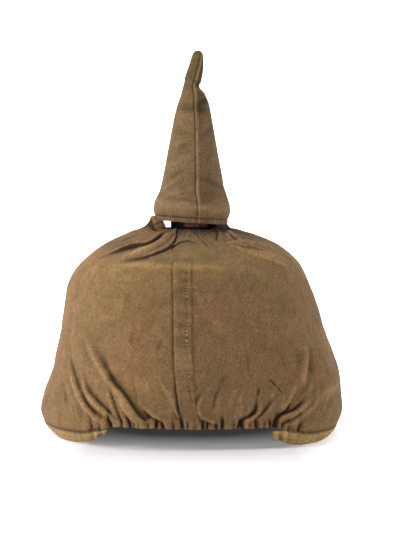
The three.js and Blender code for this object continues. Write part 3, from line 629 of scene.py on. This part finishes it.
def cover_panel(name, side):
    def shape(u, v):
        down = COVER_LENGTH * (v - 0.11 * np.sin(2 * np.pi * v) / np.pi)
        seam = through(BACK_SEAM, down, 1)
        reach = cover_base(np.zeros_like(down), down)[:, 1]
        width = np.minimum(SEAM_STRIP, 0.14 * reach)
        under = width - 1.2 if side > 0 else 0.0
        start = seam - np.degrees(under / reach)
        bearing = start + (side * 180 - start) * (0.3 * u + 0.7 * u**2.5)
        from_seam = np.radians(seam - bearing) * reach
        from_row = from_seam - width + SEAM_ROW
        sewn = ease(down, 44, 62)
        if side < 0:
            raised = SEAM_LAP * ease(from_seam, width + 1.3, width - 0.9)
            raised *= (0.3 + 0.7 * sewn) * (0.55 + 0.45 * ease(from_seam, 0, 0.9))
            raised -= 0.45 * bell(from_row, 0.8) * sewn
        else:
            raised = -0.55 * bell(from_seam + 0.5, 0.8) * sewn
        pucker = bell(from_row, 3.4) * sewn
        raised = raised + 0.2 * pucker * np.sin(down * 0.95 + 2 * np.sin(down * 0.11))
        points, normals, height, dirt_and_shading = cover_points(bearing, down, raised)
        # A painted shadow line beside the seam's folded edge, darker towards the hem, a painted highlight
        # just right of it, and a broken darker line by the strip's sewn row.
        edge_width = 0.5 + 0.8 * bell(down - 153, 10)
        uneven = 0.75 + 0.25 * np.sin(down * 0.21 + 1.3 * np.sin(down * 0.07))
        dark = 0.45 + 0.35 * bell(down - 112, 12) + 1.9 * ease(down, 128, 146)
        dirt_and_shading = dirt_and_shading + dark * uneven * sewn * bell(from_seam + 0.3, edge_width)
        dirt_and_shading = dirt_and_shading - 0.5 * sewn * bell(from_seam - 0.9, 0.6)
        dirt_and_shading = dirt_and_shading + 0.4 * sewn * (0.6 + 0.4 * np.sin(down * 0.33)) * bell(from_seam - width - 0.6, 0.7)
        on_strip = ease(np.abs(from_seam - 0.5 * width), 0.6 * width, 0.4 * width) * sewn
        blotches = 1.5 + np.sin(down * 0.45 + 3 * np.sin(down * 0.13))
        dirt_and_shading = dirt_and_shading - 0.75 * on_strip * bell(down - 122, 7, 4)
        dirt_and_shading = dirt_and_shading + (0.2 - 0.22 * ease(down, 128, 150)) * on_strip * blotches
        outer = points + normals * height[:, None]
        inner = points + normals * (height - CLOTH)[:, None]
        threads = np.stack((np.radians(bearing) * np.hypot(points[:, 0], points[:, 1]), down), -1)
        worn = 0.15 + 0.5 * bell(down - 77, 6) + 0.6 * bell(down - 134, 7)
        worn += 0.7 * ease(down, 94, 101) * ease(down, 118, 112)
        along_seam = down + 0.8 * np.sin(down * 0.5)
        seam_row = (from_row + 0.3 * np.sin(down * 0.37), along_seam, sewn * worn)
        along_hem = np.radians(bearing) * HEM_REACH
        hem_row = (COVER_LENGTH - down - 0.8, along_hem, -ease(np.abs(bearing), 29, 33))
        near_hem = down > 164
        sewing = np.stack([np.where(near_hem, h, s) for h, s in zip(hem_row, seam_row)], -1)
        return outer, inner, threads, height, dirt_and_shading, sewing

    return cloth_piece(name, 256, 186, shape)


left_panel = cover_panel("cover_left_half", 1)
right_panel = cover_panel("cover_right_half", -1)


def new_group(name, inputs, outputs):
    tree = bpy.data.node_groups.new(name, "ShaderNodeTree")
    for way, sockets in (("INPUT", inputs), ("OUTPUT", outputs)):
        for socket_name, kind in sockets.items():
            tree.interface.new_socket(name=socket_name, in_out=way, socket_type="NodeSocket" + kind)
    start = tree.nodes.new("NodeGroupInput")
    end = tree.nodes.new("NodeGroupOutput")
    return tree, start.outputs, end.inputs


weave, given, result = new_group("cotton weave", {"Threads": "Vector"}, {"Thread": "Float", "Rub": "Float"})


def streaks(turn, length, width, detail):
    place = add_node(weave, "ShaderNodeMapping", {0: given["Threads"]}, vector_type="TEXTURE")
    feed(weave, place, {"Rotation": (0, 0, math.radians(turn)), "Scale": (length, width, 1)})
    feeds = {"Vector": place.outputs[0], "Scale": 1.0, "Detail": detail}
    return calculated(weave, "SUBTRACT", add_node(weave, "ShaderNodeTexNoise", feeds).outputs[0], 0.5)


twill = calculated(weave, "ADD", streaks(45, 0.55, 0.085, 2.0), streaks(-45, 0.4, 0.10, 2.0))
slubs = calculated(weave, "ADD", streaks(0, 0.7, 0.11, 2.0), streaks(90, 0.7, 0.11, 2.0))
lint = streaks(0, 0.12, 0.10, 3.0)
slubbed = calculated(weave, "MULTIPLY_ADD", slubs, 0.6, twill)
weave.links.new(calculated(weave, "ADD", slubbed, lint), result["Thread"])
rubs = calculated(weave, "MAXIMUM", streaks(52, 2.6, 0.17, 3.0), streaks(-50, 2.2, 0.15, 3.0))
weave.links.new(ranged(weave, rubs, 0.08, 0.26), result["Rub"])

dye_and_shading, given, result = new_group(
    "faded dye and painted shading",
    {"Place": "Vector", "Relief": "Float", "Thread": "Float", "Rub": "Float", "Dye": "Color",
     "Faded": "Color", "Soil and shade": "Color"},
    {"Color": "Color"},
)


def cloudy(scale, detail, low, high, shift=0.0):
    place = add_node(dye_and_shading, "ShaderNodeMapping", {0: given["Place"], 1: (shift, shift, shift)})
    feeds = {"Vector": place.outputs[0], "Scale": scale, "Detail": detail}
    return ranged(dye_and_shading, add_node(dye_and_shading, "ShaderNodeTexNoise", feeds).outputs[0], low, high)


def tinted(tone, share, tint):
    return mixed(dye_and_shading, share, tone, tint, "MULTIPLY")


sideways, _, upward = add_node(dye_and_shading, "ShaderNodeSeparateXYZ", {0: given["Place"]}).outputs
wander = calculated(dye_and_shading, "MULTIPLY_ADD", cloudy(16.0, 3.0, 0.3, 0.7), 0.03, sideways)
tone = mixed(dye_and_shading, ranged(dye_and_shading, wander, 0.004, 0.085), given["Dye"], given["Faded"])
olive = product(
    dye_and_shading, cloudy(17.0, 2.0, 0.40, 0.66, 3.1), ranged(dye_and_shading, upward, 0.05, 0.115, 0.6, 0.95),
    ranged(dye_and_shading, upward, 0.150, 0.132, 0.7, 1.0), ranged(dye_and_shading, sideways, -0.03, 0.04, 0.65, 1.0),
)
tone = tinted(tone, olive, (1.01, 1.075, 0.93, 1))
rusty = product(
    dye_and_shading, cloudy(21.0, 2.0, 0.46, 0.68, 7.7), ranged(dye_and_shading, sideways, -0.02, 0.05, 0.25, 0.8),
    ranged(dye_and_shading, upward, 0.02, 0.07, 0.25, 1.0),
)
tone = tinted(tone, rusty, (1.14, 0.96, 0.98, 1))
# A lighter band round the shoulder: sun fading, and painted light from above where the cloth faces up.
shoulder = between(dye_and_shading, upward, 0.104, 0.116, 0.124, 0.131)
tone = tinted(tone, shoulder, (1.13, 1.12, 1.02, 1))
# A warmer, slightly darker tint on the far right, painted to offset the cooler light that falls on that
# side.
far_right = ranged(dye_and_shading, sideways, -0.03, -0.075)
tone = tinted(tone, far_right, (0.985, 0.965, 0.87, 1))
soil = product(dye_and_shading, cloudy(75.0, 5.0, 0.46, 0.80), 0.34)
tone = mixed(dye_and_shading, soil, tone, given["Soil and shade"])
rubbed = product(dye_and_shading, cloudy(130.0, 5.0, 0.50, 0.80, 1.3), 0.42)
tone = tinted(tone, rubbed, (1.5, 1.5, 1.6, 1))
streaked = product(dye_and_shading, given["Rub"], cloudy(30.0, 2.0, 0.38, 0.62, 5.5), 0.4)
tone = tinted(tone, streaked, (1.5, 1.48, 1.5, 1))
fleck = calculated(dye_and_shading, "MULTIPLY_ADD", given["Thread"], 0.80, 1.0)
flecks = add_node(dye_and_shading, "ShaderNodeCombineColor", {0: fleck, 1: fleck, 2: fleck}).outputs[0]
tone = tinted(tone, 1.0, flecks)
# Hollows go towards the colour of soil and shade and standing parts are lightened: dirt and wear, with
# painted shade in the hollows and painted highlights on the ridges.
deep = product(dye_and_shading, ranged(dye_and_shading, given["Relief"], -0.08, -1.5), 0.92)
tone = mixed(dye_and_shading, deep, tone, given["Soil and shade"])
proud = product(dye_and_shading, ranged(dye_and_shading, given["Relief"], 0.08, 1.6), 0.6)
tone = tinted(tone, proud, (1.85, 1.85, 1.92, 1))
dye_and_shading.links.new(tone, result["Color"])

# A sewn row: distance off it, distance along it, and its strength, which is negative for dark thread.
sewing, given, result = new_group(
    "sewn row", {"Sewing": "Vector"}, {"Stitch": "Float", "Groove": "Float", "Light thread": "Float"}
)
from_row, along_row, strength = add_node(sewing, "ShaderNodeSeparateXYZ", {0: given["Sewing"]}).outputs
off_row = calculated(sewing, "ABSOLUTE", from_row)
row_strength = calculated(sewing, "ABSOLUTE", strength)
beat = calculated(sewing, "SINE", product(sewing, along_row, 2 * math.pi / STITCH_LENGTH))
stitch = product(sewing, ranged(sewing, off_row, 0.9, 0.35), ranged(sewing, beat, -0.5, 0.3), row_strength)
groove = product(sewing, ranged(sewing, off_row, 1.5, 0.3), row_strength)
sewing.links.new(stitch, result["Stitch"])
sewing.links.new(groove, result["Groove"])
sewing.links.new(calculated(sewing, "GREATER_THAN", strength, 0.0), result["Light thread"])


def cotton(name, dye, faded, soil_and_shade, sewn_light, sewn_dark):
    finish, tree, shader = new_finish(name)
    places = add_node(tree, "ShaderNodeTexCoord").outputs
    relief = add_node(tree, "ShaderNodeAttribute", attribute_name="relief").outputs["Fac"]
    rows = add_node(tree, "ShaderNodeAttribute", attribute_name="sewing").outputs["Vector"]
    woven = add_node(tree, "ShaderNodeGroup", {"Threads": places["UV"]}, node_tree=weave).outputs
    dyed_and_shaded = add_node(tree, "ShaderNodeGroup", node_tree=dye_and_shading)
    feed(tree, dyed_and_shaded, {"Place": places["Object"], "Relief": relief})
    feed(tree, dyed_and_shaded, {"Thread": woven["Thread"], "Rub": woven["Rub"]})
    feed(tree, dyed_and_shaded, {"Dye": dye, "Faded": faded, "Soil and shade": soil_and_shade})
    sewn = add_node(tree, "ShaderNodeGroup", {"Sewing": rows}, node_tree=sewing).outputs
    tone = mixed(tree, product(tree, sewn["Groove"], 0.4), dyed_and_shaded.outputs["Color"], soil_and_shade)
    thread_tone = mixed(tree, sewn["Light thread"], sewn_dark, sewn_light)
    height = calculated(tree, "MULTIPLY_ADD", sewn["Stitch"], 0.6, woven["Thread"])
    bump = add_node(tree, "ShaderNodeBump", {"Height": height, "Strength": 0.5, "Distance": 0.0005})
    feed(tree, shader, {
        "Base Color": mixed(tree, product(tree, sewn["Stitch"], 0.75), tone, thread_tone),
        "Normal": bump.outputs[0],
        "Roughness": 0.95,
        "Specular IOR Level": 0.1,
        "Sheen Weight": 0.03,
        "Sheen Roughness": 0.6,
    })
    return finish


LIGHT_THREAD = (0.36, 0.262, 0.145, 1)
DARK_THREAD = (0.043, 0.027, 0.013, 1)
khaki = cotton(
    "khaki cotton",
    dye=(0.153, 0.091, 0.0415, 1), faded=(0.226, 0.134, 0.059, 1), soil_and_shade=(0.030, 0.0165, 0.0066, 1),
    sewn_light=LIGHT_THREAD, sewn_dark=DARK_THREAD,
)
for panel, node_name in ((left_panel, "cover_left_panel"), (right_panel, "cover_right_panel")):
    panel.data.materials.append(khaki)
    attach(panel, "root")
    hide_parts(node_name)

# Hem band: a yellower cotton tape sewn along the cover's lower edge and turned under it. Its
# two ends lie either side of the gathered nape, and the helmet stands on it.

TAPE_WIDTH = 24.0
BEHIND_EDGE = 0.9
BAND_PATH = np.array((  # share across the tape, inset from the cover's edge, share of its height
    (0.0, 1.9, 1.6), (0.12, 1.6, 1.25), (0.22, BEHIND_EDGE, 0.98), (0.32, BEHIND_EDGE, 0.78),
    (0.44, 3.4, 0.46), (0.56, 6.6, 0.18), (0.68, 10.0, 0.02), (0.76, 11.6, 0.0), (1.0, 14.6, 0.0),
))


# A tape's nape end is lifted off the floor, which it meets between two bearings. Upright is the
# share of its turn-in that is left there.
def hem_band(name, side, end, lift, from_bearing, to_bearing, upright):
    def shape(u, v):
        bearing = end + (side * 180 - end) * (0.4 * u + 0.6 * u**1.8)
        down = np.full_like(bearing, COVER_LENGTH)
        base, normal, height, _ = cover_points(bearing, down)
        away = np.abs(bearing) - abs(end)
        edge = base + normal * (height * ease(away, 2, 12))[:, None]
        step = cover_base(bearing + 0.4, down) - cover_base(bearing - 0.4, down)
        inward = np.stack((-step[:, 1], step[:, 0], np.zeros_like(bearing)), -1)
        inward *= np.sign(-(inward * edge).sum(1))[:, None]
        inward /= np.linalg.norm(inward, axis=1, keepdims=True)
        low = lift * np.clip((to_bearing - np.abs(bearing)) / (to_bearing - from_bearing), 0, 1) ** 2
        inset, share = through(BAND_PATH, v, 1), through(BAND_PATH, v, 2)
        narrow = upright + (0.85 - upright) * ease(away, 18, 56)
        narrow = narrow * (1 - 0.35 * ease(np.abs(bearing), 95, 130))
        inset = np.where(v > 0.32, BEHIND_EDGE + (inset - BEHIND_EDGE) * narrow, inset)
        inset = inset + 9 * (1 - narrow) * ease(v, 0.7, 1) * ease(away, 4, 16)
        inset = BEHIND_EDGE + (inset - BEHIND_EDGE) * (0.35 + 0.65 * ease(away, 1, 12))
        share = np.minimum(share, 0.8 + 0.8 * ease(away, 0, 12))
        below = ease(v, 0.2, 0.34) * ease(v, 0.76, 0.6)
        loose = 0.16 * np.sin(bearing * 1.7 + 1.2 * np.sin(bearing * 0.6)) * below
        loose += 0.22 * np.sin(v * 52 + 3 * np.sin(bearing * 0.11)) * np.sin(bearing * 0.23) * below
        loose += 0.7 * ease(away, 12, 2) * np.sin(away * 1.6) * below
        outer = edge + inward * (inset - loose)[:, None]
        outer[:, 2] = low + (edge[:, 2] - low) * np.maximum(share, 0)
        turn = ease(v, 0.36, 0.76)
        inner = outer + inward * (CLOTH * (1 - turn))[:, None]
        inner[:, 2] += CLOTH * turn
        along_hem = np.radians(bearing) * HEM_REACH
        threads = np.stack((along_hem, v * TAPE_WIDTH), -1)
        no_row = np.stack(((v - 0.3) * TAPE_WIDTH, along_hem, 0 * v), -1)
        # Painted shade on the tape's top under the cover's edge, in its tucks and towards its nape end
        # under the gather, and a painted highlight along its turned rim.
        rim = bell(v - 0.36, 0.08) * ease(away, 14, 4)
        tuck = bell(away - 5.8, 0.6) + 0.6 * bell(away - 7.4, 0.4)
        dirt_and_shading = 0.9 * ease(v, 0.3, 0.2) - rim + 0.9 * tuck * ease(v, 0.55, 0.3)
        dirt_and_shading += (1.1 if side > 0 else 0.3) * ease(away, 8, 1)
        return outer, inner, threads, 1.4 * loose, dirt_and_shading, no_row

    return cloth_piece(name, 220, 34, shape)


left_band = hem_band(
    "hem_tape_left", side=1, end=28.0, lift=8.6, from_bearing=27.5, to_bearing=47, upright=0.14
)
right_band = hem_band(
    "hem_tape_right", side=-1, end=-25.0, lift=5.2, from_bearing=27, to_bearing=38.5, upright=0.30
)
tape = cotton(
    "yellow cotton tape",
    dye=(0.288, 0.196, 0.080, 1), faded=(0.348, 0.238, 0.101, 1), soil_and_shade=(0.052, 0.032, 0.013, 1),
    sewn_light=LIGHT_THREAD, sewn_dark=DARK_THREAD,
)
for band, node_name in ((left_band, "hem_band_left"), (right_band, "hem_band_right")):
    band.data.materials.append(tape)
    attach(band, "root")
    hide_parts(node_name)

# Spike cover: a cotton cone closed by a lapped seam down its back and hemmed at its foot. It
# hangs on the point, and its empty tip has flopped over to one side.

SPIKE_COVER_SECTIONS = np.array((  # height, reach left and right, bearing of the seam's edge
    (143.6, 24.4, 24, -10), (145.6, 25, 24.6, -10), (148.6, 26, 25.7, -9.6), (151.7, 26.2, 26.5, -9.2),
    (155.9, 25.5, 26.4, -8.8), (160, 24, 25.2, -7.6), (164.2, 22.5, 23.9, -5.8), (170, 20.4, 22.4, -5.4),
    (178, 18.8, 20.8, -6), (189, 17, 18.4, -6.8), (201.4, 14.8, 16.2, -7.4), (213.8, 12.2, 14.2, -7.2),
    (222.1, 10.2, 12.8, -3), (227, 8.6, 11.4, -3), (231, 7.2, 9.4, -4.4), (234.5, 6.4, 7.2, -6.4),
    (237.3, 5.6, 5.6, -8.4), (239.8, 5, 6.6, -9.6), (243.5, 4.4, 7.4, -12), (248, 2.9, 8.1, -15),
    (253, 1.2, 8.3, -20), (257.6, -0.3, 8.1, -30), (259.8, -1.3, 7.4, -38), (261, -2.6, 6, -44),
    (261.4, -3.6, 4.8, -46),
))
SPIKE_LAP = 2.6
SPIKE_HEM = 146.9  # height of its sewn row
SPIKE_HEM_REACH = 25.0
SPIKE_CREASES = (  # height and bearing of the middle, tilt, depth, height and spread of each crease
    (222, 26, 0.02, 0.8, 3.6, 40), (226.5, -46, -0.06, 0.8, 2, 30), (237.2, -62, 0.05, 1.3, 1.5, 42),
    (233.6, -50, 0.06, -0.9, 1.6, 34), (159.5, 20, 0.05, 0.5, 2.2, 70), (163.5, 34, -0.1, -0.6, 2.4, 36),
    (155, 10, 0.03, -0.8, 3, 80), (196, 24, -0.12, 0.25, 2.6, 34), (199.5, 30, -0.12, -0.3, 2, 34),
    (176, 40, -0.16, 0.3, 2.6, 30), (172, 36, -0.16, -0.4, 2, 34), (221, -26, -0.02, 0.55, 4, 26),
    (149.6, -52, 0.03, 0.45, 2.6, 24), (186, 30, -0.14, -0.5, 2.6, 34), (170, -44, 0.14, 0.5, 2.6, 30),
    (206, 36, 0.1, 0.3, 2.6, 30), (205, -40, -0.1, 0.3, 2.6, 30), (244, 30, 0.1, 0.35, 2, 40),
    (190, 170, 0.1, 0.5, 4, 60), (168, 120, 0.1, 0.5, 3, 50), (172, -130, -0.1, 0.5, 3, 50),
)


def spike_cover_shape(u, v):
    t = v * (len(SPIKE_COVER_SECTIONS) - 1)
    rows = np.column_stack((np.arange(len(SPIKE_COVER_SECTIONS)), SPIKE_COVER_SECTIONS))
    z, left, right, seam = (through(rows, t, k) for k in (1, 2, 3, 4))
    radius, middle = (left + right) / 2, (left - right) / 2
    lap_width = np.minimum(SPIKE_LAP, 0.5 * radius)
    whole = 2 * np.pi * radius
    arc = (0.3 * u + 0.7 * (0.5 - 0.5 * np.cos(np.pi * u))) * (whole + lap_width)
    bearing = seam - np.degrees(arc / radius)
    turned = (bearing + 180) % 360 - 180
    to_tip = ease(z, 262, 254)
    height = 0.8 * ease(arc, lap_width + 1.4, 0.2 * lap_width) * to_tip
    height -= 0.25 * bell(whole - arc - 0.3, 0.5) * to_tip
    height += 0.25 * np.sin(np.radians(bearing) * 5 + z / 9) * ease(z, 146, 156) * ease(z, 240, 200)
    # A painted shadow line at the lap's edge and a painted highlight beside it; the cover is also darker
    # towards its tip.
    dirt_and_shading = 1.6 * bell(whole - arc, 0.45) * to_tip
    dirt_and_shading -= 1.7 * bell(arc - 0.8, 0.6) * (0.6 + 0.4 * np.sin(z * 0.31 + 2 * np.sin(z * 0.13)))
    dirt_and_shading += 0.25 * ease(z, 205, 225) + 0.3 * ease(z, 228, 244)
    shaded = 0.66 - 0.2 * ease(z, 160, 176) + 0.25 * ease(z, 192, 214) + 0.3 * ease(z, 232, 242)
    right_of_seam = ease(arc, 1.2, 3.0) * ease(turned, -150, -95) * (turned < seam)
    dirt_and_shading += shaded * right_of_seam * ease(z, 150, 162)
    for crease_z, crease_bearing, tilt, depth, tall, spread in SPIKE_CREASES:
        apart = (turned - crease_bearing + 180) % 360 - 180
        crease = bell(z - crease_z - tilt * apart, tall) * bell(apart, spread)
        height -= depth * crease
        # Painted shade in each crease, and with a minus depth a painted highlight on the ridge.
        dirt_and_shading += 0.5 * depth * crease
    hem = bell(z - SPIKE_HEM, 0.7)
    height += 0.35 * ease(z, 147.2, 146.0) - 0.5 * hem
    height += 0.12 * np.sin(bearing * 0.8) * np.sin(bearing * 0.23) * ease(z, 148, 145)
    # Darker along the sewn row, lighter on the edge below it, and a painted highlight on the flare above
    # it.
    dirt_and_shading += 0.3 * hem - 0.25 * ease(z, 146.8, 145.6) - 0.5 * bell(z - 154, 5)
    s, c = np.sin(np.radians(bearing)), np.cos(np.radians(bearing))
    across = middle + radius * s
    foot = ease(z, 164, 144)
    drop = (0.07 * across + 0.12 * np.sin(0.31 * bearing)) * foot
    points = np.stack((across, radius * c, z + drop), -1)
    normal = np.stack((s, c, np.zeros_like(s)), -1)
    outer = points + normal * height[:, None]
    wall = np.minimum(CLOTH, 0.6 * radius)
    inner = points + normal * (height - wall)[:, None]
    threads = np.stack((arc, z), -1)
    along_hem = np.radians(bearing) * SPIKE_HEM_REACH
    sewn_row = np.stack((z - SPIKE_HEM, along_hem, np.full_like(z, -0.5)), -1)
    return outer, inner, threads, height, dirt_and_shading, sewn_row


spike_cover = cloth_piece("spike_cover_cone", 180, 200, spike_cover_shape)
greyer_khaki = cotton(
    "greyer khaki cotton",
    dye=(0.150, 0.0955, 0.0470, 1), faded=(0.222, 0.141, 0.0667, 1), soil_and_shade=(0.030, 0.0170, 0.0072, 1),
    sewn_light=LIGHT_THREAD, sewn_dark=DARK_THREAD,
)
spike_cover.data.materials.append(greyer_khaki)
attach(spike_cover, "root")
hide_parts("spike_cover")

# Stage: a pale floor and a low round paper wall under soft studio light from above and from the
# left, and the camera behind the helmet, a little above the floor.

bpy.ops.object.select_all(action="DESELECT")
bpy.ops.mesh.primitive_plane_add(size=16, location=(0, 0, 0))
floor = start_piece("floor")
white, tree, shader = new_finish("white paper")
spot = add_node(tree, "ShaderNodeTexCoord").outputs["Object"]
# The floor glows though it is no lamp: dimly under the helmet, more towards its edge and brightly beside
# and beyond it, a painted soft shadow under the nape.
away = add_node(tree, "ShaderNodeVectorMath", {0: spot}, operation="LENGTH").outputs["Value"]
sideways = calculated(tree, "ABSOLUTE", add_node(tree, "ShaderNodeSeparateXYZ", {0: spot}).outputs["X"])
ring = ranged(tree, away, 0.055, 0.12, 0.03, 0.245)
painted_shadow_glow = product(tree, ring, ranged(tree, away, 0.12, 0.16, 1.0, 0.3))
painted_shadow_glow = calculated(tree, "ADD", painted_shadow_glow, ranged(tree, sideways, 0.066, 0.112, 0.0, 0.6))
painted_shadow_glow = calculated(tree, "ADD", painted_shadow_glow, ranged(tree, away, 0.17, 0.6, 0.0, 0.9))
feed(tree, shader, {
    "Base Color": (0.77, 0.735, 0.755, 1),
    "Roughness": 0.9,
    "Specular IOR Level": 0.0,
    "Emission Color": (1, 1, 1, 1),
    "Emission Strength": painted_shadow_glow,
})
floor.data.materials.append(white)
bpy.ops.object.select_all(action="DESELECT")
bpy.ops.mesh.primitive_cylinder_add(
    vertices=96, radius=6.5, depth=1.6, end_fill_type="NOTHING", location=(0, 0, 0.8)
)
wall = start_piece("paper_wall")
lit_white, tree, shader = new_finish("lit white paper")
feed(tree, shader, {
    "Base Color": (0.92, 0.92, 0.92, 1), "Emission Color": (1, 1, 1, 1), "Emission Strength": 1.0
})
wall.data.materials.append(lit_white)

world = bpy.data.worlds.new("studio")
bpy.context.scene.world = world
world.use_nodes = True
background = world.node_tree.nodes["Background"]
feed(world.node_tree, background, {"Color": (1, 1, 1, 1), "Strength": 0.12})


def soft_light(name, place, aim, size, power):
    lamp = bpy.data.lights.new(name, "AREA")
    lamp.size = size
    lamp.energy = power
    holder = bpy.data.objects.new(name, lamp)
    bpy.context.collection.objects.link(holder)
    holder.location = place
    holder.rotation_euler = (Vector(aim) - Vector(place)).to_track_quat("-Z", "Y").to_euler()


soft_light("left", (1.5, 0.62, 1.45), (0, 0, 0.12), 0.7, 14)
soft_light("right", (-1.6, -0.1, 1.4), (0, 0, 0.12), 0.9, 5.5)
soft_light("top", (0.2, -0.9, 1.9), (0, 0, 0.0), 2.2, 52)
soft_light("front", (0.3, 2.4, 0.35), (0, 0, 0.08), 1.1, 4.8)

PHOTO_ROWS = 547
PIXEL = 0.69 * MM
SENSOR = 36.0
camera = bpy.data.objects.new("camera", bpy.data.cameras.new("camera"))
bpy.context.collection.objects.link(camera)
camera.location = (AXIS_X, AXIS_Y + 1.8, 0.196)
aim = Vector((AXIS_X - 0.0093, AXIS_Y, 0.1079))
camera.rotation_euler = (aim - camera.location).to_track_quat("-Z", "Y").to_euler()
camera.data.sensor_fit = "VERTICAL"
camera.data.sensor_height = SENSOR
camera.data.lens = SENSOR * (aim - camera.location).length / (PHOTO_ROWS * PIXEL)
bpy.context.scene.camera = camera
bpy.context.scene.view_settings.view_transform = "Standard"
